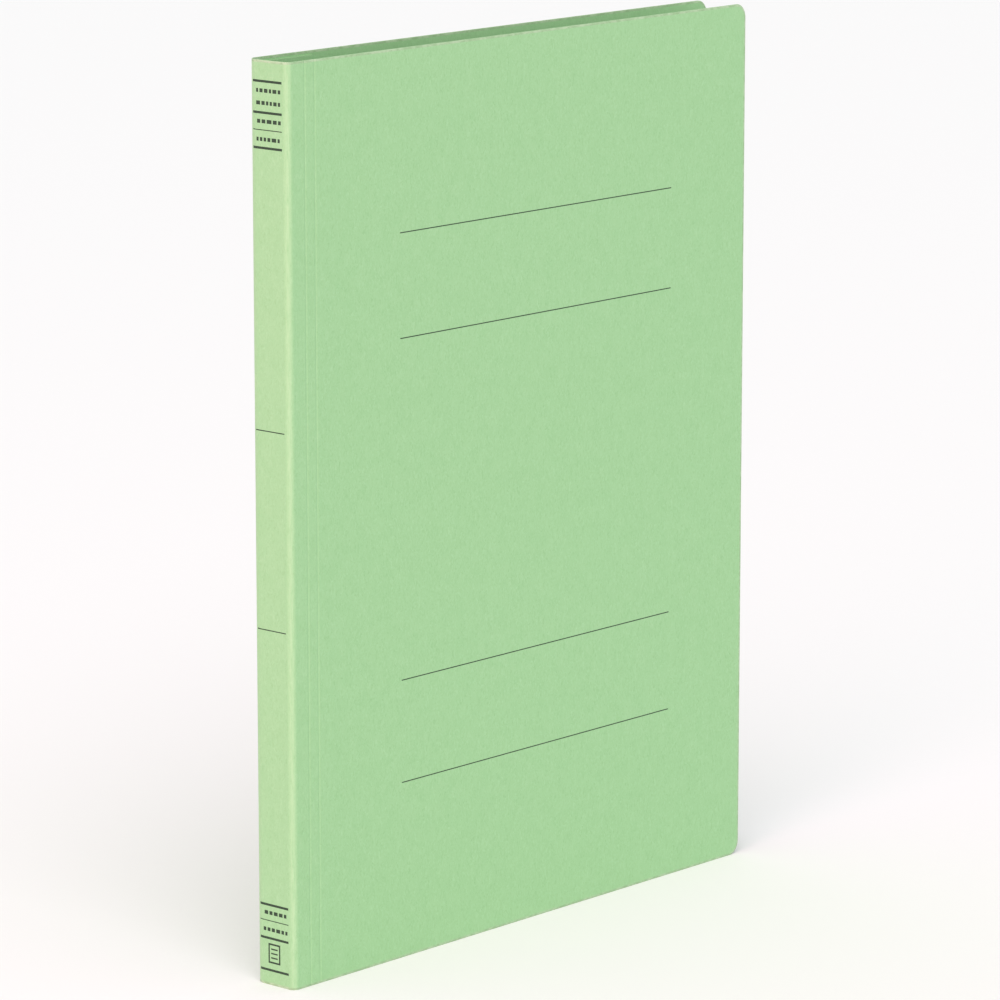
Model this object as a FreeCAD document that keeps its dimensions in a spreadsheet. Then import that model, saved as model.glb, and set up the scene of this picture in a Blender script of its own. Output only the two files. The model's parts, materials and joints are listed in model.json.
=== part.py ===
"""Paper flat file, A4 upright, 15 mm capacity, with a two-prong plastic fastener.

One creased sheet of coloured card makes the front cover, the spine and the back cover. A card binding
strip is glued inside the back cover and traps the base of the fastener. Two flexible tongues stand up
from that base through the strip, pass through a press bar and fold down over it, and a sliding lock on
each half of the bar holds its tongue down.

Row frame, in millimetres: +Z up the height of the file, X across the covers with the spine at -X,
front cover facing -Y, origin in the middle of the footprint that the closed file stands on.
"""

import FreeCAD, Part
import Sketcher
import os

# ------------------------------------------------------------------ driving dimensions

DIMENSIONS = {
    # covers
    "cover_height": 307.0,
    "cover_width": 231.0,
    "spine_width": 18.0,
    "card_thickness": 0.45,
    "corner_radius": 5.0,
    "front_bend_radius": 2.3,
    "back_bend_radius": 4.0,
    "inner_score_at": 8.0,
    "outer_score_at": 12.6,
    "score_width": 1.2,
    "score_depth": 0.15,
    # binding strip
    "strip_width": 25.0,
    "strip_end_margin": 1.5,
    "blister_slope": 0.6,
    # fastener
    "hole_pitch": 80.0,
    "hole_from_spine": 17.0,
    "fit_gap": 0.1,
    "base_overhang": 19.0,
    "base_width": 10.0,
    "base_thickness": 0.8,
    "base_corner": 3.0,
    "tongue_width": 5.0,
    "tongue_thickness": 0.6,
    "tongue_end_gap": 8.0,
    "tongue_tip_length": 3.0,
    "tongue_tip_width": 2.6,
    "slot_side_gap": 0.5,
    "slot_outer_reach": 1.5,
    "slot_inner_reach": 3.0,
    "bar_overhang": 20.0,
    "bar_width": 9.0,
    "bar_plate": 1.0,
    "rib_height": 1.0,
    "rib_width": 1.0,
    "bar_corner": 2.0,
    "bar_edge_radius": 0.3,
    "groove_depth": 0.5,
    "groove_height": 0.8,
    "stop_length": 1.2,
    "lock_length": 9.0,
    "lock_wall": 1.1,
    "lock_gap": 0.15,
    "lock_end_gap": 0.3,
    "lock_edge_radius": 0.4,
    "grip_count": 4,
    "grip_pitch": 1.6,
    "grip_width": 0.7,
    "grip_height": 0.35,
    "grip_margin": 0.8,
}


class Size:
    """A length that carries its value together with the spreadsheet expression that it comes from."""

    def __init__(self, value, text):
        self.value = value
        self.text = text

    def __add__(self, other):
        other = as_size(other)
        return Size(self.value + other.value, f"({self.text} + {other.text})")

    def __sub__(self, other):
        other = as_size(other)
        return Size(self.value - other.value, f"({self.text} - {other.text})")

    def __mul__(self, factor):
        return Size(self.value * factor, f"({self.text} * {factor})")

    def __truediv__(self, divisor):
        return Size(self.value / divisor, f"({self.text} / {divisor})")

    def __neg__(self):
        return self * -1


def as_size(number):
    return number if isinstance(number, Size) else Size(float(number), f"({number})")


ZERO = as_size(0)

doc = FreeCAD.newDocument("flat_file")
sheet = doc.addObject("Spreadsheet::Sheet", "Sizes")
for row, (alias, number) in enumerate(DIMENSIONS.items(), start=1):
    sheet.set(f"A{row}", alias)
    sheet.set(f"B{row}", str(number))
    sheet.setAlias(f"B{row}", alias)
doc.recompute()


def size(alias):
    return Size(DIMENSIONS[alias], f"Sizes.{alias}")


# ------------------------------------------------------------------ places that several pieces share

HEIGHT = size("cover_height")
CARD = size("card_thickness")
SPINE_X = -size("cover_width") / 2  # outer face of the spine
FRONT_Y = -size("spine_width") / 2  # outer face of the front cover
BACK_Y = size("spine_width") / 2  # outer face of the back cover
BACK_INNER_Y = BACK_Y - CARD
MIDDLE_Z = HEIGHT / 2
HOLE_X = SPINE_X + size("hole_from_spine")
HALF_PITCH = size("hole_pitch") / 2
BASE_HALF = HALF_PITCH + size("base_overhang")
BAR_HALF = HALF_PITCH + size("bar_overhang")

# The fastener stacks up from the inner face of the back cover. Each level is a height above that face.
STRIP_TOP = size("base_thickness") + size("fit_gap") + CARD
BAR_BOTTOM = STRIP_TOP + size("fit_gap")
PLATE_TOP = BAR_BOTTOM + size("bar_plate")
RIB_TOP = PLATE_TOP + size("rib_height")
TONGUE_AXIS = PLATE_TOP + size("fit_gap") + size("tongue_thickness") / 2
TONGUE_TOP = TONGUE_AXIS + size("tongue_thickness") / 2
GROOVE_LOW = (size("bar_plate") + size("rib_height") - size("groove_height")) / 2
GROOVE_HALF = BAR_HALF - size("stop_length") - size("bar_corner")
LOCK_BRIDGE = RIB_TOP + size("lock_gap")
LOCK_TOP = LOCK_BRIDGE + size("lock_wall")
LOCK_PARK = GROOVE_HALF - size("lock_end_gap") - size("lock_length") / 2


# ------------------------------------------------------------------ modelling helpers


def bind(thing, path, length):
    """Sets a property of an object from the sheet, and keeps it tied to it."""
    thing.setExpression(path, as_size(length).text)


def place(body, x, y, z, turn=FreeCAD.Rotation()):
    body.Placement = FreeCAD.Placement(FreeCAD.Vector(), turn)
    for axis, length in zip("xyz", (x, y, z)):
        bind(body, f"Placement.Base.{axis}", length)


def new_body(name):
    body = doc.addObject("PartDesign::Body", name)
    body.Label = name
    return body


def origin_item(body, role):
    return next(item for item in body.Origin.OriginFeatures if item.Role == role)


def new_sketch(body, name, role, lift=ZERO):
    """A sketch on one of the body's own origin planes, lifted along the plane's normal."""
    drawn = body.newObject("Sketcher::SketchObject", f"{body.Name}_{name}")
    drawn.AttachmentSupport = (origin_item(body, role), [""])
    drawn.MapMode = "FlatFace"
    bind(drawn, "AttachmentOffset.Base.z", lift)
    return drawn


def fix_point(drawn, line, end, x, y):
    """Pins one end of a sketch line to the sheet, measured from the sketch's origin."""
    for kind, axis, length in (("DistanceX", -2, as_size(x)), ("DistanceY", -1, as_size(y))):
        if length.value == 0:
            drawn.addConstraint(Sketcher.Constraint("PointOnObject", line, end, axis))
        else:
            number = drawn.addConstraint(Sketcher.Constraint(kind, -1, 1, line, end, length.value))
            bind(drawn, f"Constraints[{number}]", length)


def outline(drawn, corners):
    """A closed outline of straight lines through the corners, each an (x, y) pair of lengths."""
    points = [FreeCAD.Vector(as_size(x).value, as_size(y).value, 0) for x, y in corners]
    first = drawn.GeometryCount
    count = len(corners)
    for i in range(count):
        drawn.addGeometry(Part.LineSegment(points[i], points[(i + 1) % count]), False)
    for i in range(count):
        following = first + (i + 1) % count
        drawn.addConstraint(Sketcher.Constraint("Coincident", first + i, 2, following, 1))
        fix_point(drawn, first + i, 1, *corners[i])
    return drawn


def rectangle(drawn, left, low, right, high):
    return outline(drawn, [(left, low), (right, low), (right, high), (left, high)])


def pad(body, name, drawn, length, reverse=False, both_ways=False):
    feature = body.newObject("PartDesign::Pad", f"{body.Name}_{name}")
    feature.Profile = drawn
    feature.Reversed = reverse
    if both_ways:
        feature.SideType = "Symmetric"
    bind(feature, "Length", length)
    drawn.Visibility = False
    return feature


def pocket(body, name, drawn, length, reverse=False):
    """A cut, which stops the build if it takes nothing away."""
    doc.recompute()
    before = body.Shape.Volume
    feature = body.newObject("PartDesign::Pocket", f"{body.Name}_{name}")
    feature.Profile = drawn
    feature.Reversed = reverse
    bind(feature, "Length", length)
    doc.recompute()
    if not body.Shape.Volume < before:
        raise RuntimeError(f"{feature.Name} cuts nothing")
    return feature


def repeat(body, name, feature, length, count):
    """Repeats a feature in a row along the body's own Z axis."""
    pattern = body.newObject("PartDesign::LinearPattern", f"{body.Name}_{name}")
    pattern.Originals = [feature]
    pattern.Direction = (origin_item(body, "Z_Axis"), [""])
    bind(pattern, "Length", length)
    pattern.Occurrences = count
    body.Tip = pattern
    return pattern


def mirror(body, name, feature):
    """Repeats a feature on the other side of the body's own XY plane."""
    twin = body.newObject("PartDesign::Mirrored", f"{body.Name}_{name}")
    twin.Originals = [feature]
    twin.MirrorPlane = (origin_item(body, "XY_Plane"), [""])
    body.Tip = twin
    return twin


def dress_edges(body, name, kind, length, wanted):
    """A Fillet or Chamfer on those edges of the body's last feature for which wanted(edge) is true."""
    doc.recompute()
    base = body.Tip
    names = [f"Edge{i}" for i, edge in enumerate(base.Shape.Edges, start=1) if wanted(edge)]
    feature = body.newObject(f"PartDesign::{kind}", f"{body.Name}_{name}")
    feature.Base = (base, names)
    bind(feature, "Radius" if kind == "Fillet" else "Size", length)
    return feature


def runs_along(edge, axis):
    """True for a straight edge parallel to axis, a unit vector."""
    if not isinstance(edge.Curve, Part.Line):
        return False
    return abs(abs(edge.Curve.Direction.dot(axis)) - 1) < 1e-6


def lies_at(edge, height):
    """True for an edge that lies wholly at this height above the back cover, which is towards -Y."""
    return all(abs(corner.Y + height.value) < 1e-6 for corner in edge.Vertexes)


AXIS_Y = FreeCAD.Vector(0, 1, 0)
AXIS_Z = FreeCAD.Vector(0, 0, 1)


# ------------------------------------------------------------------ the creased card


def card_panel(name, x, outer_y, width, thickness, rounded=False):
    """A flat stretch of the card, parallel to the covers. outer_y is its -Y face."""
    body = new_body(name)
    drawn = rectangle(new_sketch(body, "outline", "XZ_Plane"), 0, 0, width, HEIGHT)
    pad(body, "sheet", drawn, thickness)
    if rounded:
        far = width.value

        def at_fore_edge(edge):
            return runs_along(edge, AXIS_Y) and abs(edge.CenterOfMass.x - far) < 1e-6

        dress_edges(body, "corners", "Fillet", size("corner_radius"), at_fore_edge)
    place(body, x, outer_y + thickness, ZERO)
    return body


def card_bend(name, radius, centre_y, turn):
    """The quarter-round bend between the spine and a cover. turn is where its arc begins, in degrees."""
    body = new_body(name)
    drawn = new_sketch(body, "section", "XZ_Plane")
    rectangle(drawn, radius - CARD, 0, radius, HEIGHT)
    sweep = body.newObject("PartDesign::Revolution", f"{name}_sweep")
    sweep.Profile = drawn
    sweep.ReferenceAxis = (drawn, ["V_Axis"])
    sweep.Angle = 90
    drawn.Visibility = False
    place(body, SPINE_X + radius, centre_y, ZERO, FreeCAD.Rotation(AXIS_Z, turn))
    return body


def covers():
    back_bend = size("back_bend_radius")
    front_bend = size("front_bend_radius")
    half_score = size("score_width") / 2
    inner = size("inner_score_at")
    outer = size("outer_score_at")
    score_card = CARD - size("score_depth")

    card_panel("back_cover", SPINE_X + back_bend, BACK_INNER_Y, size("cover_width") - back_bend, CARD, True)
    card_bend("back_bend", back_bend, BACK_Y - back_bend, 90)

    body = new_body("spine")
    flat = size("spine_width") - front_bend - back_bend
    pad(body, "sheet", rectangle(new_sketch(body, "outline", "YZ_Plane"), 0, 0, flat, HEIGHT), CARD)
    place(body, SPINE_X, FRONT_Y + front_bend, ZERO)

    card_bend("front_bend", front_bend, FRONT_Y + front_bend, 180)
    card_panel("hinge_strip", SPINE_X + front_bend, FRONT_Y, inner - half_score - front_bend, CARD)
    groove_floor = FRONT_Y + size("score_depth")
    card_panel("inner_score", SPINE_X + inner - half_score, groove_floor, size("score_width"), score_card)
    middle_width = outer - inner - size("score_width")
    card_panel("middle_strip", SPINE_X + inner + half_score, FRONT_Y, middle_width, CARD)
    card_panel("outer_score", SPINE_X + outer - half_score, groove_floor, size("score_width"), score_card)
    front_width = size("cover_width") - outer - half_score
    card_panel("front_cover", SPINE_X + outer + half_score, FRONT_Y, front_width, CARD, True)


# ------------------------------------------------------------------ binding strip


def tongue_slots(body, outer_reach, inner_reach, depth):
    """A slot through the body for each tongue. The reaches run from the tongue's place along the height."""
    half_x = size("tongue_width") / 2 + size("slot_side_gap")
    drawn = new_sketch(body, "slot_outline", "XZ_Plane")
    rectangle(drawn, -half_x, HALF_PITCH - inner_reach, half_x, HALF_PITCH + outer_reach)
    slot = pocket(body, "slot", drawn, depth, reverse=True)
    mirror(body, "slots", slot)


def binding_strip():
    """Card strip glued inside the back cover, blistered over the fastener's base, with a slot per tongue."""
    body = new_body("binding_strip")
    gap = size("fit_gap")
    half_width = size("strip_width") / 2
    half_height = HEIGHT / 2 - size("strip_end_margin")
    drawn = new_sketch(body, "outline", "XZ_Plane")
    rectangle(drawn, -half_width, -half_height, half_width, half_height)
    pad(body, "sheet", drawn, CARD)

    # the blister has the base's pocket inside it, one card thickness and its own slope further out
    pocket_x = size("base_width") / 2 + gap
    pocket_z = BASE_HALF + gap
    skirt = CARD + size("blister_slope")
    blister_x = pocket_x + skirt
    blister_z = pocket_z + skirt
    drawn = new_sketch(body, "blister_outline", "XZ_Plane", CARD)
    rectangle(drawn, -blister_x, -blister_z, blister_x, blister_z)
    pad(body, "blister", drawn, STRIP_TOP - CARD)

    dress_edges(body, "slope", "Chamfer", size("blister_slope"), lambda edge: lies_at(edge, STRIP_TOP))

    drawn = rectangle(new_sketch(body, "base_outline", "XZ_Plane"), -pocket_x, -pocket_z, pocket_x, pocket_z)
    pocket(body, "base_pocket", drawn, size("base_thickness") + gap, reverse=True)

    reach = size("slot_outer_reach")
    tongue_slots(body, reach, reach, STRIP_TOP + gap)
    place(body, HOLE_X, BACK_INNER_Y, MIDDLE_Z)
    return body


# ------------------------------------------------------------------ fastener


def fastener_base():
    """Base plate under the strip, with the two stems that carry the tongues."""
    body = new_body("fastener_base")
    half_x = size("base_width") / 2
    drawn = rectangle(new_sketch(body, "outline", "XZ_Plane"), -half_x, -BASE_HALF, half_x, BASE_HALF)
    pad(body, "plate", drawn, size("base_thickness"))
    dress_edges(body, "plate_corners", "Fillet", size("base_corner"), lambda edge: runs_along(edge, AXIS_Y))

    stem_x = size("tongue_width") / 2
    stem_z = size("tongue_thickness") / 2
    knuckle_gap = size("fit_gap") / 2
    drawn = new_sketch(body, "stem_outline", "XZ_Plane", size("base_thickness"))
    rectangle(drawn, -stem_x, HALF_PITCH - stem_z, stem_x, HALF_PITCH + stem_z)
    rise = TONGUE_AXIS - size("tongue_thickness") / 2 - knuckle_gap - size("base_thickness")
    stem = pad(body, "stem", drawn, rise)
    mirror(body, "stems", stem)
    place(body, HOLE_X, BACK_INNER_Y, MIDDLE_Z)
    return body


def tongue(name, z, turn):
    """A flexible tongue, drawn lying flat from its fold at the origin towards +Z."""
    body = new_body(name)
    half = size("tongue_width") / 2
    half_tip = size("tongue_tip_width") / 2
    length = HALF_PITCH - size("tongue_end_gap") / 2
    shoulder = length - size("tongue_tip_length")
    right_side = [(half, 0), (half, shoulder), (half_tip, length)]
    profile = right_side + [(-x, z) for x, z in reversed(right_side)]
    drawn = outline(new_sketch(body, "outline", "XZ_Plane"), profile)
    pad(body, "blade", drawn, size("tongue_thickness"), both_ways=True)

    drawn = new_sketch(body, "fold_circle", "YZ_Plane")
    radius = size("tongue_thickness") / 2
    drawn.addGeometry(Part.Circle(FreeCAD.Vector(), AXIS_Z, radius.value), False)
    drawn.addConstraint(Sketcher.Constraint("Coincident", 0, 3, -1, 1))
    number = drawn.addConstraint(Sketcher.Constraint("Radius", 0, radius.value))
    bind(drawn, f"Constraints[{number}]", radius)
    pad(body, "fold", drawn, size("tongue_width"), both_ways=True)
    place(body, HOLE_X, BACK_INNER_Y - TONGUE_AXIS, z, turn)
    return body


def press_bar():
    """Channel-shaped bar that the tongues pass through and fold into, with a groove along each side."""
    body = new_body("press_bar")
    half_x = size("bar_width") / 2
    drawn = rectangle(new_sketch(body, "outline", "XZ_Plane"), -half_x, -BAR_HALF, half_x, BAR_HALF)
    pad(body, "blank", drawn, size("bar_plate") + size("rib_height"))
    dress_edges(body, "corners", "Fillet", size("bar_corner"), lambda edge: runs_along(edge, AXIS_Y))
    top = size("bar_plate") + size("rib_height")
    dress_edges(body, "soft_edge", "Fillet", size("bar_edge_radius"), lambda edge: lies_at(edge, top))

    channel_x = half_x - size("rib_width")
    channel_z = BAR_HALF - size("stop_length")
    drawn = new_sketch(body, "channel_outline", "XZ_Plane", size("bar_plate"))
    rectangle(drawn, -channel_x, -channel_z, channel_x, channel_z)
    pocket(body, "channel", drawn, size("rib_height"), reverse=True)

    tongue_slots(body, size("slot_outer_reach"), size("slot_inner_reach"), size("bar_plate"))

    # the side grooves stop short of the ends, and that is what keeps the locks on the bar
    for side, role in (("left", -1), ("right", 1)):
        near = (half_x - size("groove_depth")) * role
        far = (half_x + size("groove_depth")) * role
        drawn = new_sketch(body, f"{side}_groove_outline", "XZ_Plane", GROOVE_LOW)
        rectangle(drawn, near, -GROOVE_HALF, far, GROOVE_HALF)
        pocket(body, f"{side}_groove", drawn, size("groove_height"), reverse=True)
    place(body, HOLE_X, BACK_INNER_Y - BAR_BOTTOM, MIDDLE_Z)
    return body


def lock(name, z):
    """C-shaped lock that clips round the bar and slides along it, with grip ridges on its back."""
    body = new_body(name)
    gap = size("lock_gap")
    wall = size("lock_wall")
    inner = size("bar_width") / 2 + gap
    outer = inner + wall
    lip = size("bar_width") / 2 - size("groove_depth") + gap
    pad_half = size("bar_width") / 2 - size("rib_width") - gap
    foot = BAR_BOTTOM + gap
    lip_low = BAR_BOTTOM + GROOVE_LOW + gap
    lip_high = lip_low + size("groove_height") - gap * 2
    pad_low = TONGUE_TOP + gap
    half_profile = [
        (pad_half, pad_low),
        (pad_half, LOCK_BRIDGE),
        (inner, LOCK_BRIDGE),
        (inner, lip_high),
        (lip, lip_high),
        (lip, lip_low),
        (inner, lip_low),
        (inner, foot),
        (outer, foot),
        (outer, LOCK_TOP),
    ]
    mirrored = [(-x, y) for x, y in reversed(half_profile)]
    # heights grow towards -Y, so the section is drawn upside down
    section = [(x, -y) for x, y in half_profile + mirrored]
    drawn = outline(new_sketch(body, "section", "XY_Plane"), section)
    pad(body, "body", drawn, size("lock_length"), both_ways=True)

    dress_edges(body, "soft_edge", "Fillet", size("lock_edge_radius"), lambda edge: lies_at(edge, LOCK_TOP))

    grip_x = outer - size("grip_margin")
    first = -size("grip_pitch") * (DIMENSIONS["grip_count"] - 1) / 2
    half_grip = size("grip_width") / 2
    drawn = new_sketch(body, "grip_outline", "XZ_Plane", LOCK_TOP)
    rectangle(drawn, -grip_x, first - half_grip, grip_x, first + half_grip)
    ridge = pad(body, "grip", drawn, size("grip_height"))
    run = size("grip_pitch") * (DIMENSIONS["grip_count"] - 1)
    repeat(body, "grips", ridge, run, DIMENSIONS["grip_count"])
    place(body, HOLE_X, BACK_INNER_Y, z)
    return body


def fastener():
    upside_down = FreeCAD.Rotation(AXIS_Y, 180)
    fastener_base()
    tongue("upper_tongue", MIDDLE_Z + HALF_PITCH, upside_down)
    tongue("lower_tongue", MIDDLE_Z - HALF_PITCH, FreeCAD.Rotation())
    press_bar()
    lock("upper_lock", MIDDLE_Z + LOCK_PARK)
    lock("lower_lock", MIDDLE_Z - LOCK_PARK)


# ------------------------------------------------------------------ build, check and write

covers()
binding_strip()
fastener()
doc.recompute()

for thing in doc.Objects:
    if "Invalid" in thing.State or "Error" in thing.State:
        raise RuntimeError(f"{thing.Name} failed: {thing.State}")

os.makedirs("parts", exist_ok=True)
for body in (o for o in doc.Objects if o.TypeId == "PartDesign::Body"):
    shape = body.Shape
    if shape.isNull() or not shape.isValid() or not shape.Solids:
        raise RuntimeError(f"{body.Label} has no valid solid")
    shape.exportStep(f"parts/{body.Label}.step")
    box = shape.BoundBox
    extent = f"{box.XLength:.2f} x {box.YLength:.2f} x {box.ZLength:.2f} mm"
    print(f"{body.Label:16s} {shape.Volume:9.1f} mm3  {extent}")
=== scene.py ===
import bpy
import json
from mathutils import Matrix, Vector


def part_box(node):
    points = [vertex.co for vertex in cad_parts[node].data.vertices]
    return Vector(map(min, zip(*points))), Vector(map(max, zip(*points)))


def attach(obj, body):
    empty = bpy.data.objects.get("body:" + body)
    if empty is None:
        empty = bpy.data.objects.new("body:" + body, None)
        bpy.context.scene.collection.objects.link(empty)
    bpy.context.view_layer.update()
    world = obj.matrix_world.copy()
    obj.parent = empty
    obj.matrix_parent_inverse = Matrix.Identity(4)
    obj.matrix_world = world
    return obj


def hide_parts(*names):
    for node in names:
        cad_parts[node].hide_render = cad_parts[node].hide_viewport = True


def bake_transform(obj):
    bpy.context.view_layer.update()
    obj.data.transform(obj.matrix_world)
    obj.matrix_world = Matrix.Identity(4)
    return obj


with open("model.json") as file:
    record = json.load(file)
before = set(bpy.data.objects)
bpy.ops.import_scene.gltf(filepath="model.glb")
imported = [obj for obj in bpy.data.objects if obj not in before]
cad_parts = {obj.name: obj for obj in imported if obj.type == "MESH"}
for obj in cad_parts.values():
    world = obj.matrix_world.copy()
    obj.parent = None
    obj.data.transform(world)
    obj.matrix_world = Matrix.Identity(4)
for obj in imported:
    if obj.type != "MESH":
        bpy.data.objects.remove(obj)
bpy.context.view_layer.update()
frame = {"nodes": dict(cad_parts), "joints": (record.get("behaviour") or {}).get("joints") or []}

import json
import math
import random

import bmesh
import bpy
from mathutils import Vector

# ---------------------------------------------------------------- the sheet of card
# The covers and the spine are one die-cut sheet of solid board, dyed green all through, 0.45 mm thick.
# Its faces are lightly calendered, so short fibres and soft clouds of tone show in a matt surface, and
# its cut edges are rougher and a little greyer.


class Paint:
    """A number, colour or vector in a material. Python's operators on it add the Math nodes."""

    def __init__(self, tree, socket=None):
        self.tree = tree
        self.socket = socket

    def node(self, kind, settings=None, inputs=None, output=0):
        """Adds a node: its settings first, then the values or links of its sockets. Gives one output."""
        made = self.tree.nodes.new("ShaderNode" + kind)
        for name, value in (settings or {}).items():
            setattr(made, name, value)
        for name, value in (inputs or {}).items():
            if isinstance(value, Paint):
                self.tree.links.new(value.socket, made.inputs[name])
            else:
                made.inputs[name].default_value = value
        return Paint(self.tree, made.outputs[output] if made.outputs else None)

    def maths(self, operation, first, second=0.0):
        return self.node("Math", {"operation": operation}, {0: first, 1: second})

    def __add__(self, other):
        return self.maths("ADD", self, other)

    def __mul__(self, other):
        return self.maths("MULTIPLY", self, other)

    def __rsub__(self, other):
        return self.maths("SUBTRACT", other, self)

    __radd__ = __add__
    __rmul__ = __mul__

    def above(self, low, high):
        """0 below low, 1 above high, and a smooth step between."""
        settings = {"interpolation_type": "SMOOTHSTEP"}
        return self.node("MapRange", settings, {"Value": self, "From Min": low, "From Max": high})

    def stretched(self, along):
        """A vector scaled by three numbers."""
        return self.node("VectorMath", {"operation": "MULTIPLY"}, {0: self, 1: along})

    def noise(self, scale, detail=2.0, rough=0.5, bent=0.0):
        """Soft noise from 0 to 1. scale is cells per metre, and bent is how far they are curled."""
        inputs = {"Vector": self, "Scale": scale, "Detail": detail, "Roughness": rough, "Distortion": bent}
        return self.node("TexNoise", None, inputs)

    def tint(self, factor, first, second):
        """A colour that goes from first to second as factor goes from 0 to 1."""
        return self.node("Mix", {"data_type": "RGBA"}, {0: factor, 6: first, 7: second}, output=2)

    def bump(self, strength, distance):
        """A surface normal that treats this number as height."""
        return self.node("Bump", None, {"Strength": strength, "Distance": distance, "Height": self})

    def surface(self, **inputs):
        """Ends the material with one Principled surface. Underscores stand for the spaces in socket names."""
        sockets = {name.replace("_", " "): value for name, value in inputs.items()}
        shader = self.node("BsdfPrincipled", None, sockets)
        self.node("OutputMaterial", None, {"Surface": shader})


def new_material(name):
    """An empty material, and the Paint that adds nodes to it."""
    material = bpy.data.materials.new(name)
    material.use_nodes = True
    material.node_tree.nodes.clear()
    return material, Paint(material.node_tree)


CARD_GREEN = (0.318, 0.588, 0.289, 1)
CARD_PALE = (0.334, 0.603, 0.304, 1)
FIBRE_DARK = (0.262, 0.515, 0.232, 1)
FIBRE_PALE = (0.405, 0.668, 0.375, 1)
# the paler skin of a broken crease, partly a painted highlight on the bend
CREASE_PALE_AND_HIGHLIGHT = (0.470, 0.705, 0.405, 1)
# darker tone along the cut edges, partly rubbed wear, partly a painted shade of the rolled edge
RUBBED_AND_SHADED_DARK = (0.290, 0.530, 0.265, 1)
EDGE_GREEN = (0.310, 0.500, 0.270, 1)
EDGE_PALE = (0.440, 0.610, 0.390, 1)


def card_face_material():
    material, paint = new_material("card_face")
    place = paint.node("Attribute", {"attribute_name": "on_sheet"}, output="Vector")
    crease = paint.node("Attribute", {"attribute_name": "crease"}, output="Fac")
    margin = paint.node("Attribute", {"attribute_name": "margin"}, output="Fac")

    clouds = place.noise(170, detail=3).above(0.30, 0.70)
    colour = paint.tint(clouds, CARD_GREEN, CARD_PALE)
    # short curled fibres lie a little more along the height of the sheet, the way the board was made
    fibres = place.stretched((1.0, 1.0, 0.45)).noise(1300, detail=4, rough=0.68, bent=1.6)
    colour = paint.tint(fibres.above(0.51, 0.68) * 0.60, colour, FIBRE_DARK)
    colour = paint.tint((1 - fibres).above(0.51, 0.68) * 0.55, colour, FIBRE_PALE)
    # folding breaks the calendered skin, so a crease is paler, in streaks along the fold; this paleness is
    # partly a painted highlight that brightens the bend
    streaks = place.stretched((1.0, 1.0, 0.06)).noise(2200, detail=4, rough=0.65)
    broken_skin_and_highlight = crease * streaks.above(0.30, 0.62)
    colour = paint.tint(broken_skin_and_highlight * 0.6, colour, CREASE_PALE_AND_HIGHLIGHT)
    # a narrow margin along the cut edges is painted a little darker, more in some places than in others:
    # partly wear where hands rub it, partly painted shade where the rolled edge turns from the light
    rubbed_and_shaded = margin * place.noise(110, detail=3).above(0.35, 0.75)
    colour = paint.tint(rubbed_and_shaded * 0.4, colour, RUBBED_AND_SHADED_DARK)

    grain = place.noise(5200, detail=4, rough=0.62)
    dimples = place.noise(900, detail=2)
    height = grain * 0.6 + dimples * 0.5 + fibres * 0.6 + broken_skin_and_highlight * 0.3
    paint.surface(
        Base_Color=colour,
        Roughness=0.60 + clouds * 0.05 + fibres * 0.08 + broken_skin_and_highlight * 0.1,
        Normal=height.bump(0.45, 0.00006),
        Specular_IOR_Level=0.42,
        Sheen_Weight=0.06,
        Sheen_Roughness=0.6,
    )
    return material


def card_edge_material():
    material, paint = new_material("card_cut_edge")
    place = paint.node("Attribute", {"attribute_name": "on_sheet"}, output="Vector")
    plies = place.stretched((0.25, 5.0, 0.25)).noise(1700, detail=4, rough=0.6)
    fluff = place.noise(6500, detail=3, rough=0.7)
    paint.surface(
        Base_Color=paint.tint(plies.above(0.35, 0.65), EDGE_GREEN, EDGE_PALE),
        Roughness=0.78 + fluff * 0.12,
        Normal=(plies * 0.6 + fluff * 0.8).bump(0.6, 0.00006),
        Specular_IOR_Level=0.3,
    )
    return material


CARD_MATERIALS = [card_face_material(), card_edge_material()]
ROLL = 0.00080  # the die leaves the card rolled off towards its cut edges over this width
ROLL_DEPTH = 0.00011
ROLL_STEPS = 7
CORNER_STEPS = 14

back_low, back_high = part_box("back_cover")
front_low, front_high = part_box("front_cover")
CARD = back_high.y - back_low.y
HEIGHT = back_high.z - back_low.z


def cut_edge():
    """Steps from a face round to its cut edge, each as (inset from the edge, depth below the face, how much
    it is darkened, as rubbed wear and partly painted shade)."""
    steps = []
    for step in range(ROLL_STEPS + 1):
        turn = math.pi / 2 * step / ROLL_STEPS
        steps.append((ROLL * (1 - math.sin(turn)), ROLL_DEPTH * (1 - math.cos(turn)), math.sin(turn) ** 2))
    return steps


def make_piece(name, points, faces, materials, rim=(), hard=(), attributes=None):
    """A mesh object. Faces in rim take the second material, and the edges of faces in hard stay crisp."""
    mesh = bpy.data.meshes.new(name)
    mesh.from_pydata(points, [], faces)
    for material in materials:
        mesh.materials.append(material)
    rim = set(rim)
    for polygon in mesh.polygons:
        polygon.use_smooth = True
        polygon.material_index = 1 if polygon.index in rim else 0
    crisp = {key for index in hard for key in mesh.polygons[index].edge_keys}
    for edge in mesh.edges:
        edge.use_edge_sharp = edge.key in crisp
    for attribute, (kind, key, values) in (attributes or {}).items():
        mesh.attributes.new(attribute, kind, "POINT").data.foreach_set(key, values)
    turned = bmesh.new()
    turned.from_mesh(mesh)
    bmesh.ops.recalc_face_normals(turned, faces=turned.faces)
    turned.to_mesh(mesh)
    turned.free()
    piece = bpy.data.objects.new(name, mesh)
    bpy.context.scene.collection.objects.link(piece)
    weighted = piece.modifiers.new("even_shading", "WEIGHTED_NORMAL")
    weighted.keep_sharp = True
    return piece


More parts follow.
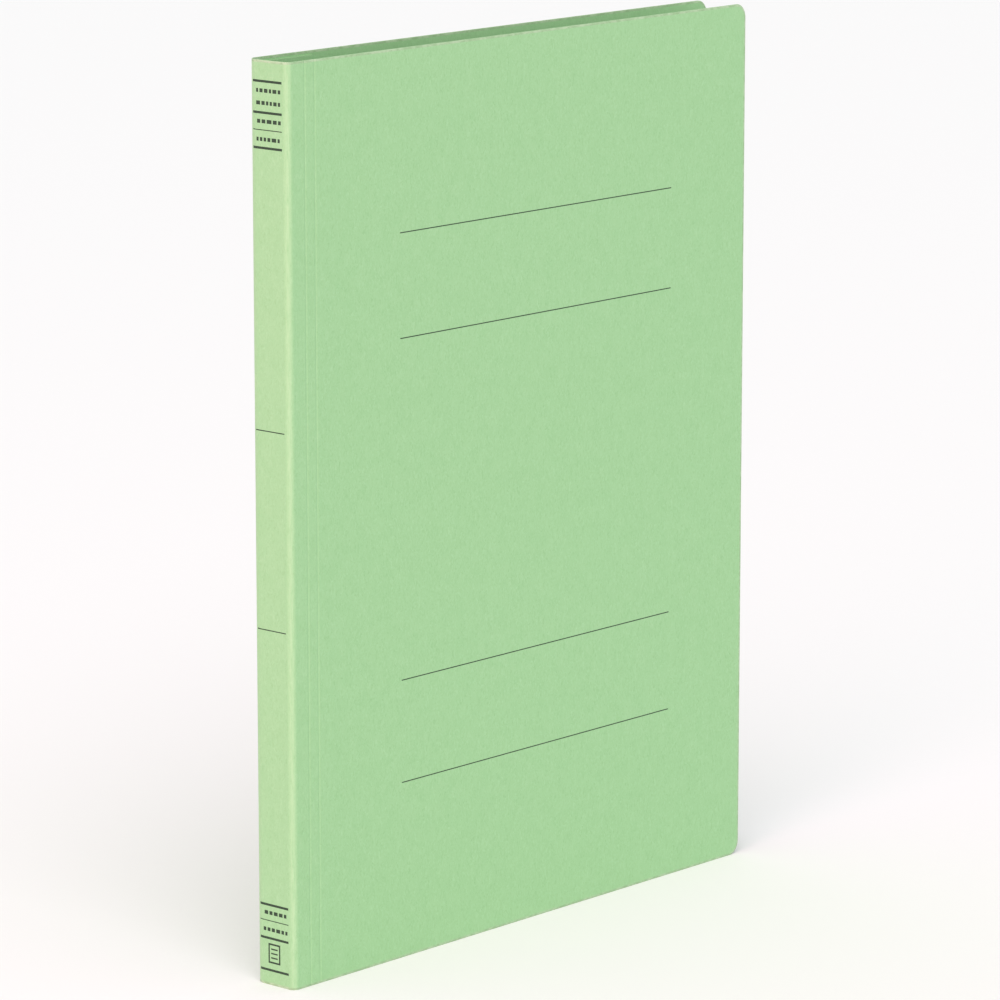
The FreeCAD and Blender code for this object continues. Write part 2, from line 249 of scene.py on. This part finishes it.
def card_piece(name, node, points, faces, rim, hard, places, creases, margins):
    """A piece of the sheet, which stands for one CAD node. places are its points on the flat sheet."""
    flat_places = [number for place in places for number in place]
    attributes = {
        "on_sheet": ("FLOAT_VECTOR", "vector", flat_places),
        "crease": ("FLOAT", "value", creases),
        "margin": ("FLOAT", "value", margins),
    }
    piece = make_piece(name, points, faces, CARD_MATERIALS, rim, hard, attributes)
    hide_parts(node)
    return piece


def card_stretch(name, node, stations):
    """A stretch of the sheet, swept over its full height from station to station. Each station is (outer
    point, inner point, distance along the sheet, how creased)."""
    loop = [(depth / CARD, inset, rubbed_and_shaded) for inset, depth, rubbed_and_shaded in cut_edge()]
    loop += [(1 - share, z, rubbed_and_shaded) for share, z, rubbed_and_shaded in reversed(loop)]
    loop += [(share, HEIGHT - z, rubbed_and_shaded) for share, z, rubbed_and_shaded in reversed(loop)]
    count = len(loop)
    points, places, creases, margins = [], [], [], []
    for outer, inner, along, creased in stations:
        for share, z, rubbed_and_shaded in loop:
            at = Vector(outer).lerp(Vector(inner), share)
            points.append((at.x, at.y, z))
            places.append((along, share * CARD, z))
            creases.append(creased)
            margins.append(rubbed_and_shaded)
    faces, rim = [], []
    for station in range(len(stations) - 1):
        start = station * count
        for k in range(count):
            following = (k + 1) % count
            if loop[k][0] != loop[following][0]:
                rim.append(len(faces))
            faces.append((start + k, start + following, start + count + following, start + count + k))
    last = (len(stations) - 1) * count
    caps = (len(faces), len(faces) + 1)
    faces.append(tuple(range(count)))
    faces.append(tuple(last + k for k in range(count)))
    return card_piece(name, node, points, faces, rim, caps, places, creases, margins)


def cover_outline(seam_x, fore_x, radius, inset):
    """The outline of a cover as (x, z) points, inset from its three cut edges."""
    points = [(seam_x, inset)]
    for centre_z, first_turn in ((radius, -90), (HEIGHT - radius, 0)):
        for step in range(CORNER_STEPS + 1):
            turn = math.radians(first_turn + 90 * step / CORNER_STEPS)
            reach = radius - inset
            points.append((fore_x - radius + reach * math.cos(turn), centre_z + reach * math.sin(turn)))
    points.append((seam_x, HEIGHT - inset))
    return points


def cover_panel(name, node, seam_x, fore_x, outer_y, inward, along, direction):
    """A cover: cut square at its seam with the next stretch, with rounded corners at the fore-edge. inward
    is +1 or -1 along Y. along is the seam's place on the sheet, and direction is +1 or -1 from there."""
    rings = cut_edge()
    rings += [(inset, CARD - depth, rubbed_and_shaded) for inset, depth, rubbed_and_shaded in reversed(rings)]
    points, places, margins = [], [], []
    for inset, depth, rubbed_and_shaded in rings:
        for x, z in cover_outline(seam_x, fore_x, CORNER_RADIUS, inset):
            points.append((x, outer_y + inward * depth, z))
            places.append((along + direction * (x - seam_x), depth, z))
            margins.append(rubbed_and_shaded)
    count = len(points) // len(rings)
    faces, rim = [], []
    for ring in range(len(rings) - 1):
        start = ring * count
        for k in range(count - 1):
            if rings[ring][1] != rings[ring + 1][1]:
                rim.append(len(faces))
            faces.append((start + k, start + k + 1, start + count + k + 1, start + count + k))
    last = (len(rings) - 1) * count
    faces.append(tuple(range(count)))
    faces.append(tuple(last + k for k in range(count)))
    lower_seam = [ring * count for ring in range(len(rings))]
    upper_seam = [ring * count + count - 1 for ring in reversed(range(len(rings)))]
    seam = (len(faces),)
    faces.append(tuple(lower_seam + upper_seam))
    return card_piece(name, node, points, faces, rim, seam, places, [0.0] * len(points), margins)


# ---------------------------------------------------------------- back cover
# The back cover is the widest flat of the sheet of board, with die-cut round corners at the fore-edge.
# The binding strip is glued inside it, and the file is filled and read with it lying on the desk.

CORNER_RADIUS = 0.005

along = back_high.x - back_low.x
seam_x, fore_x = back_low.x, back_high.x
card_back = cover_panel("card_back_cover", "back_cover", seam_x, fore_x, back_high.y, -1, along, -1)
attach(card_back, "back")


# ---------------------------------------------------------------- back bend
# The sheet is scored inside and folded square here, and the fold keeps a soft outer radius. It flexes each
# time the spine is laid flat.

BEND_STEPS = 24
SEAM_MARGIN = 0.36  # of the card's thickness


def bend_stations(centre, radius, first_turn, along):
    """Stations round a quarter bend from first_turn, in degrees, with the crease strongest at its middle."""
    stations = []
    for step in range(BEND_STEPS + 1):
        share = step / BEND_STEPS
        turn = math.radians(first_turn + 90 * share)
        out = Vector((math.cos(turn), math.sin(turn)))
        arc = (radius - CARD / 2) * math.pi / 2 * share
        creased = math.sin(math.pi * share) ** 2
        stations.append((centre + radius * out, centre + (radius - CARD) * out, along + arc, creased))
    return stations


def flex(piece, stations):
    """Bakes a stretch's placing into its mesh; it does not bend it between the bodies on its two sides. The
    start and end of a turn, a little inside each seam so that both faces would still meet, go unused."""
    first = (stations[0][0] + stations[0][1]) / 2
    last = (stations[-1][0] + stations[-1][1]) / 2
    margin = (last - first).normalized() * CARD * SEAM_MARGIN
    start, end = first + margin, last - margin
    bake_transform(piece)


bend_low, bend_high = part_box("back_bend")
back_radius = bend_high.x - bend_low.x
back_centre = Vector((bend_high.x, bend_low.y))
back_stations = bend_stations(back_centre, back_radius, 90, along)
card_back_bend = card_stretch("card_back_bend", "back_bend", back_stations)
flex(card_back_bend, back_stations)
along = back_stations[-1][2]


# ---------------------------------------------------------------- spine
# The spine is a flat strip of the same sheet, left between the two folds. It is as wide as the stack of
# paper that the file is sold for, and it carries most of the printing.

spine_low, spine_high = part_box("spine")
stations = [
    (Vector((spine_low.x, y)), Vector((spine_high.x, y)), along + spine_high.y - y, 0.0)
    for y in (spine_high.y, spine_low.y)
]
card_spine = card_stretch("card_spine", "spine", stations)
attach(card_spine, "spine")
along = stations[-1][2]


# ---------------------------------------------------------------- front bend
# The fold between the spine and the front is scored and folded as the one at the back is. It is tighter,
# so its corner is sharper.

bend_low, bend_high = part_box("front_bend")
front_radius = bend_high.x - bend_low.x
front_centre = Vector((bend_high.x, bend_high.y))
stations = bend_stations(front_centre, front_radius, 180, along)
card_front_bend = card_stretch("card_front_bend", "front_bend", stations)
flex(card_front_bend, stations)
along = stations[-1][2]


# ---------------------------------------------------------------- hinge strip and score lines
# Two score lines are pressed into the front beside the spine. Each is a shallow round groove outside and a
# low bead inside, and the card hinges there when the front cover is opened.

BEAD = 0.00010
SCORE_STEPS = 16
SCORE_CREASE = 0.3  # a score is pressed but not broken, so its paler skin and painted highlight come only to this share of a fold's


def flat_strip(node, body, along):
    """A flat stretch between two creases. Gives its far end's place on the sheet."""
    low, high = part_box(node)
    stations = [
        (Vector((x, low.y)), Vector((x, high.y)), along + x - low.x, 0.0) for x in (low.x, high.x)
    ]
    strip = card_stretch("card_" + node, node, stations)
    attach(strip, body)
    return stations[-1][2]


def score_line(node, along):
    """A pressed score between two flat stretches. Gives its far end's place on the sheet."""
    low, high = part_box(node)
    groove = low.y - front_low.y
    stations = []
    for step in range(SCORE_STEPS + 1):
        share = step / SCORE_STEPS
        pressed = (1 - math.cos(2 * math.pi * share)) / 2
        x = low.x + (high.x - low.x) * share
        outer = Vector((x, front_low.y + groove * pressed))
        inner = Vector((x, high.y + BEAD * pressed))
        stations.append((outer, inner, along + x - low.x, SCORE_CREASE * pressed))
    score = card_stretch("card_" + node, node, stations)
    flex(score, stations)
    return stations[-1][2]


along = flat_strip("hinge_strip", "hinge_strip", along)
along = score_line("inner_score", along)
along = flat_strip("middle_strip", "middle_strip", along)
along = score_line("outer_score", along)


# ---------------------------------------------------------------- front cover
# The front cover is the last flat of the sheet of board, die-cut with the same round corners as the back.
# It hangs on the outer score line.

seam_x, fore_x = front_low.x, front_high.x
card_front = cover_panel("card_front_cover", "front_cover", seam_x, fore_x, front_low.y, 1, along, 1)
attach(card_front, "front")


# ---------------------------------------------------------------- printing
# One dark ink is printed before the sheet is folded: four writing rules on the front, and on the spine two
# rules for a title with a block of small print above and below. The small print here is plain bars.

INK_BODY = (0.022, 0.050, 0.024, 1)
INK_THIN = (0.085, 0.150, 0.075, 1)
INK_DEPTH = 0.000012
RULE = 0.00035


def ink_material():
    material, paint = new_material("printing_ink")
    place = paint.node("TexCoord", output="Object")
    cover = place.noise(3200, detail=3, rough=0.6)
    paint.surface(
        Base_Color=paint.tint(cover.above(0.55, 0.80), INK_BODY, INK_THIN),
        Roughness=0.50 + cover * 0.15,
        Normal=cover.bump(0.2, 0.00003),
        Specular_IOR_Level=0.4,
    )
    return material


INK = [ink_material()]


def printed(name, marks, place, steps=1):
    """Bars of ink on a face. A mark is (centre across, centre up, width, height), and place turns (across,
    up, lift off the face) into a point."""
    points, faces = [], []
    for across, up, width, height in marks:
        start = len(points)
        low, high = up - height / 2, up + height / 2
        for step in range(steps + 1):
            at = across + width * (step / steps - 0.5)
            ring = ((low, -INK_DEPTH), (low, INK_DEPTH), (high, INK_DEPTH), (high, -INK_DEPTH))
            points += [place(at, z, lift) for z, lift in ring]
        for corner in range(start, start + 4 * steps, 4):
            for k in range(4):
                following = (k + 1) % 4
                faces.append((corner + k, corner + following, corner + 4 + following, corner + 4 + k))
        last = start + 4 * steps
        faces += [tuple(range(start, start + 4)), tuple(range(last, last + 4))]
    piece = make_piece(name, points, faces, INK)
    for edge in piece.data.edges:
        edge.use_edge_sharp = True
    return piece


RULE_LENGTH = 0.1384
RULES_FROM_MIDDLE = (0.0928, 0.0577)
RULE_MIDDLE = spine_low.x + 0.1218
middle_z = HEIGHT / 2
front_marks = [
    (RULE_MIDDLE, middle_z + side * from_middle, RULE_LENGTH, RULE)
    for side in (1, -1)
    for from_middle in RULES_FROM_MIDDLE
]


def on_front(across, up, lift):
    return (across, front_low.y - lift, up)


print_on_front = printed("print_on_front", front_marks, on_front)
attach(print_on_front, "front")

PRINT_HALF = 0.0065  # the print is centred on the spine, so it runs a little way round the back bend
THICK_RULE = 0.00080
THIN_RULE = 0.00030
TITLE_RULES_UP = (middle_z + 0.0329, middle_z - 0.0332)
THICK_RULES_UP = (0.3002, 0.2901, 0.2787, 0.0274, 0.0160, 0.0051)
THIN_RULES_UP = (0.2845, 0.0220)
BEND_BAR_STEPS = 6
flat_end = spine_high.y

bars = [(up, RULE) for up in TITLE_RULES_UP]
bars += [(up, THICK_RULE) for up in THICK_RULES_UP]
bars += [(up, THIN_RULE) for up in THIN_RULES_UP]
flat_marks, bend_marks = [], []
for up, height in bars:
    width = flat_end + PRINT_HALF
    flat_marks.append((flat_end - width / 2, up, width, height))
    width = PRINT_HALF - flat_end
    bend_marks.append((flat_end + width / 2, up, width, height))

# a line of small print is a row of plain bars as long as its words
WORD_HEIGHT = 0.00125
WORD_LENGTHS = (0.0009, 0.0022)
WORD_GAP = 0.0006
INDENTS = (0.0004, 0.0010)
LINES_UP = (0.2972, 0.2932, 0.2873, 0.2815, 0.0247, 0.0190)
line_end = flat_end - 0.0002
lengths = random.Random(7)
for up in LINES_UP:
    across = -PRINT_HALF + lengths.uniform(*INDENTS)
    while across < flat_end - WORD_LENGTHS[0]:
        width = min(lengths.uniform(*WORD_LENGTHS), line_end - across)
        flat_marks.append((across + width / 2, up, width, WORD_HEIGHT))
        across += width + WORD_GAP

# a plain sheet-of-paper sign: a frame with three lines in it, whose strokes stop just short of each other
SIGN_Z = 0.0109
SIGN_WIDTH = 0.0054
SIGN_HEIGHT = 0.0068
STROKE = 0.00060
STROKE_GAP = 0.00001
SIGN_LINE_PITCH = 0.0015
for side in (-1, 1):
    flat_marks.append((side * (SIGN_WIDTH - STROKE) / 2, SIGN_Z, STROKE, SIGN_HEIGHT))
    width = SIGN_WIDTH - 2 * (STROKE + STROKE_GAP)
    flat_marks.append((0, SIGN_Z + side * (SIGN_HEIGHT - STROKE) / 2, width, STROKE))
for line in (-1, 0, 1):
    flat_marks.append((0, SIGN_Z + line * SIGN_LINE_PITCH, SIGN_WIDTH - 4 * STROKE, STROKE * 0.8))


def on_spine(across, up, lift):
    return (spine_low.x - lift, across, up)


def on_back_bend(across, up, lift):
    turn = (across - flat_end) / back_radius
    reach = back_radius + lift
    return (back_centre.x - reach * math.cos(turn), back_centre.y + reach * math.sin(turn), up)


print_on_spine = printed("print_on_spine", flat_marks, on_spine)
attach(print_on_spine, "spine")
print_on_bend = printed("print_on_back_bend", bend_marks, on_back_bend, BEND_BAR_STEPS)
flex(print_on_bend, back_stations)


# ---------------------------------------------------------------- binding strip
# A strip of the same board is glued inside the back cover and pressed up over the base of the fastener. Two
# slots let the tongues through.

strip_low, strip_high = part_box("binding_strip")
base_low, base_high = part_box("fastener_base")
tongue_low, tongue_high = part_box("upper_tongue")
upper_hinge = next(joint for joint in frame["joints"] if joint["child"] == "upper_tongue")
HOLE_X = upper_hinge["pos_m"][0]
HOLE_Z = upper_hinge["pos_m"][2] - middle_z
SLOPE = 0.0012
BASE_GAP = 0.0001
SLOT_HALF_WIDTH = (tongue_high.x - tongue_low.x) / 2 + 0.0005
SLOT_HALF_HEIGHT = 0.0015
STRIP_ON_SHEET = 0.5  # the strip is cut from another sheet, so its fibres are its own
glued_y = back_low.y
blister_rise = glued_y - strip_low.y - CARD


def smooth_step(value):
    value = min(max(value, 0.0), 1.0)
    return value * value * (3 - 2 * value)


def between(marks, steps):
    """All the marks in order, with each gap between them divided into its own number of steps."""
    values = [marks[0]]
    for low, high, count in zip(marks, marks[1:], steps):
        values += [low + (high - low) * (k + 1) / count for k in range(count)]
    return values


def pressed_strip():
    base_x = (base_high.x - base_low.x) / 2 + BASE_GAP
    base_z = (base_high.z - base_low.z) / 2 + BASE_GAP
    half_width = (strip_high.x - strip_low.x) / 2
    half_height = (strip_high.z - strip_low.z) / 2
    x_side = [SLOT_HALF_WIDTH, base_x, base_x + SLOPE, half_width]
    across = between([-x for x in reversed(x_side)] + x_side, (2, 10, 3, 6, 3, 10, 2))
    z_side = [HOLE_Z - SLOT_HALF_HEIGHT, HOLE_Z + SLOT_HALF_HEIGHT, base_z, base_z + SLOPE, half_height]
    upward = between([-z for z in reversed(z_side)] + z_side, (2, 10, 3, 2, 4, 2, 3, 10, 2))

    def rise(x, z):
        over_x = 1 - smooth_step((abs(x) - base_x) / SLOPE)
        over_z = 1 - smooth_step((abs(z) - base_z) / SLOPE)
        return blister_rise * over_x * over_z

    def is_slot(column, row):
        x = (across[column] + across[column + 1]) / 2
        z = (upward[row] + upward[row + 1]) / 2
        return abs(x) < SLOT_HALF_WIDTH and abs(abs(z) - HOLE_Z) < SLOT_HALF_HEIGHT

    columns, rows = len(across), len(upward)
    points, places = [], []
    for lift in (0.0, CARD):
        for z in upward:
            for x in across:
                points.append((HOLE_X + x, glued_y - rise(x, z) - lift, middle_z + z))
                places.append((x + STRIP_ON_SHEET, lift, z))
    layer = columns * rows
    faces, rim = [], []
    for row in range(rows - 1):
        for column in range(columns - 1):
            if is_slot(column, row):
                continue
            corner = row * columns + column
            cell = (corner, corner + 1, corner + columns + 1, corner + columns)
            faces += [cell, tuple(index + layer for index in cell)]
            for side, (d_column, d_row) in enumerate(((0, -1), (1, 0), (0, 1), (-1, 0))):
                next_column, next_row = column + d_column, row + d_row
                inside = 0 <= next_column < columns - 1 and 0 <= next_row < rows - 1
                if not inside or is_slot(next_column, next_row):
                    first, second = cell[side], cell[(side + 1) % 4]
                    rim.append(len(faces))
                    faces.append((first, second, second + layer, first + layer))
    flat_places = [number for place in places for number in place]
    attributes = {"on_sheet": ("FLOAT_VECTOR", "vector", flat_places)}
    return make_piece("card_binding_strip", points, faces, CARD_MATERIALS, rim, rim, attributes)


card_strip = pressed_strip()
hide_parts("binding_strip")
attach(card_strip, "back")


# ---------------------------------------------------------------- fastener
# The fastener is a set of milky polypropylene mouldings: the base with its two flexible tongues, the channel
# bar that presses on the paper, and a sliding lock on each half of the bar.

MILKY = (0.78, 0.80, 0.76, 1)
MILKY_DEEP = (0.70, 0.73, 0.69, 1)
SOFT_EDGE = 0.00012
SOFT_EDGE_STEPS = 3
SHARPEST_LEFT = 35  # degrees; a corner that turns less than this is part of a round face
SEAM_CLOSING = 0.000002


def milky_plastic():
    material, paint = new_material("milky_plastic")
    place = paint.node("TexCoord", output="Object")
    flow = place.stretched((1.0, 1.0, 0.15)).noise(420, detail=2)
    skin = place.noise(5200, detail=3, rough=0.6)
    scuffs = place.stretched((0.3, 1.0, 1.0)).noise(2600, detail=2).above(0.66, 0.74)
    paint.surface(
        Base_Color=paint.tint(flow.above(0.35, 0.65), MILKY, MILKY_DEEP),
        Roughness=0.34 + skin * 0.12 + scuffs * 0.18,
        Normal=(skin * 0.5 + flow * 0.4 + scuffs * 0.3).bump(0.16, 0.00004),
        Specular_IOR_Level=0.5,
        Subsurface_Weight=0.25,
        Subsurface_Radius=(0.0012, 0.0012, 0.0010),
        Subsurface_Scale=1.0,
    )
    return material


plastic = milky_plastic()
for node in ("fastener_base", "upper_tongue", "lower_tongue", "press_bar", "upper_lock", "lower_lock"):
    moulding = frame["nodes"][node]
    for holder in moulding.material_slots:
        holder.material = plastic
    weld = moulding.modifiers.new("whole", "WELD")
    weld.merge_threshold = SEAM_CLOSING
    bevel = moulding.modifiers.new("soft_edges", "BEVEL")
    bevel.width = SOFT_EDGE
    bevel.segments = SOFT_EDGE_STEPS
    bevel.limit_method = "ANGLE"
    bevel.angle_limit = math.radians(SHARPEST_LEFT)
    bevel.use_clamp_overlap = True
    moulding.modifiers.new("even_shading", "WEIGHTED_NORMAL")


# ---------------------------------------------------------------- floor, light and camera
# The file stands on a plain white floor, in the light of a white room. A large soft source hangs over it,
# and a small warm one stands to its left and favours the spine.

FLOOR_SIZE = 14.0
FLOOR_WHITE = (0.88, 0.88, 0.88, 1)


def floor_material():
    material, paint = new_material("floor_white")
    paint.surface(Base_Color=FLOOR_WHITE, Roughness=0.9, Specular_IOR_Level=0.1)
    return material


floor_mesh = bpy.data.meshes.new("floor")
half = FLOOR_SIZE / 2
floor_corners = [(-half, -half, 0), (half, -half, 0), (half, half, 0), (-half, half, 0)]
floor_mesh.from_pydata(floor_corners, [], [(0, 1, 2, 3)])
floor_mesh.materials.append(floor_material())
floor = bpy.data.objects.new("floor", floor_mesh)
bpy.context.scene.collection.objects.link(floor)


def soft_light(name, place, target, size, power, tint):
    """A round lamp that faces its target. size is in metres, and power in watts."""
    light = bpy.data.lights.new(name, "AREA")
    light.shape = "DISK"
    light.size = size
    light.energy = power
    light.color = tint
    lamp = bpy.data.objects.new(name, light)
    lamp.location = place
    lamp.rotation_euler = (Vector(target) - Vector(place)).to_track_quat("-Z", "Y").to_euler()
    bpy.context.scene.collection.objects.link(lamp)


def sun(name, towards, strength, spread):
    """Parallel light that falls along a direction. spread is how wide its source looks, in degrees."""
    light = bpy.data.lights.new(name, "SUN")
    light.energy = strength
    light.angle = math.radians(spread)
    lamp = bpy.data.objects.new(name, light)
    lamp.rotation_euler = Vector(towards).to_track_quat("-Z", "Y").to_euler()
    bpy.context.scene.collection.objects.link(lamp)


sun("overhead_light", (0.45, 0.45, -0.77), 1.35, 50)
SIDE_TINT = (1.0, 0.34, 0.45)
soft_light("side_light", (-2.1, -0.45, 0.60), (-0.1, 0, 0.15), 1.1, 17.0, SIDE_TINT)

# the room is a plain white wall all round, seen a little brighter than the light that it gives
WALL_LIGHT = 0.76
world = bpy.data.worlds.new("studio")
world.use_nodes = True
world.node_tree.nodes.clear()
room = Paint(world.node_tree)
seen = room.node("LightPath", output="Is Camera Ray")
strength = WALL_LIGHT + seen * (1 - WALL_LIGHT)
glow = room.node("Background", None, {"Color": (1, 1, 1, 1), "Strength": strength})
room.node("OutputWorld", None, {"Surface": glow})
bpy.context.scene.world = world
bpy.context.scene.view_settings.view_transform = "Standard"

CAMERA_PLACE = (-1.3403, -1.1898, 0.5129)
CAMERA_DOWN = 0.2018  # radians below the horizon
CAMERA_HEADING = 0.8435  # radians from +Y towards +X
LENS = 193.3

camera_data = bpy.data.cameras.new("camera")
camera_data.lens = LENS
camera_data.sensor_width = 36
camera_data.clip_start = 0.05
camera_data.clip_end = 40
camera = bpy.data.objects.new("camera", camera_data)
camera.location = CAMERA_PLACE
camera.rotation_euler = (math.pi / 2 - CAMERA_DOWN, 0, -CAMERA_HEADING)
bpy.context.scene.collection.objects.link(camera)
bpy.context.scene.camera = camera
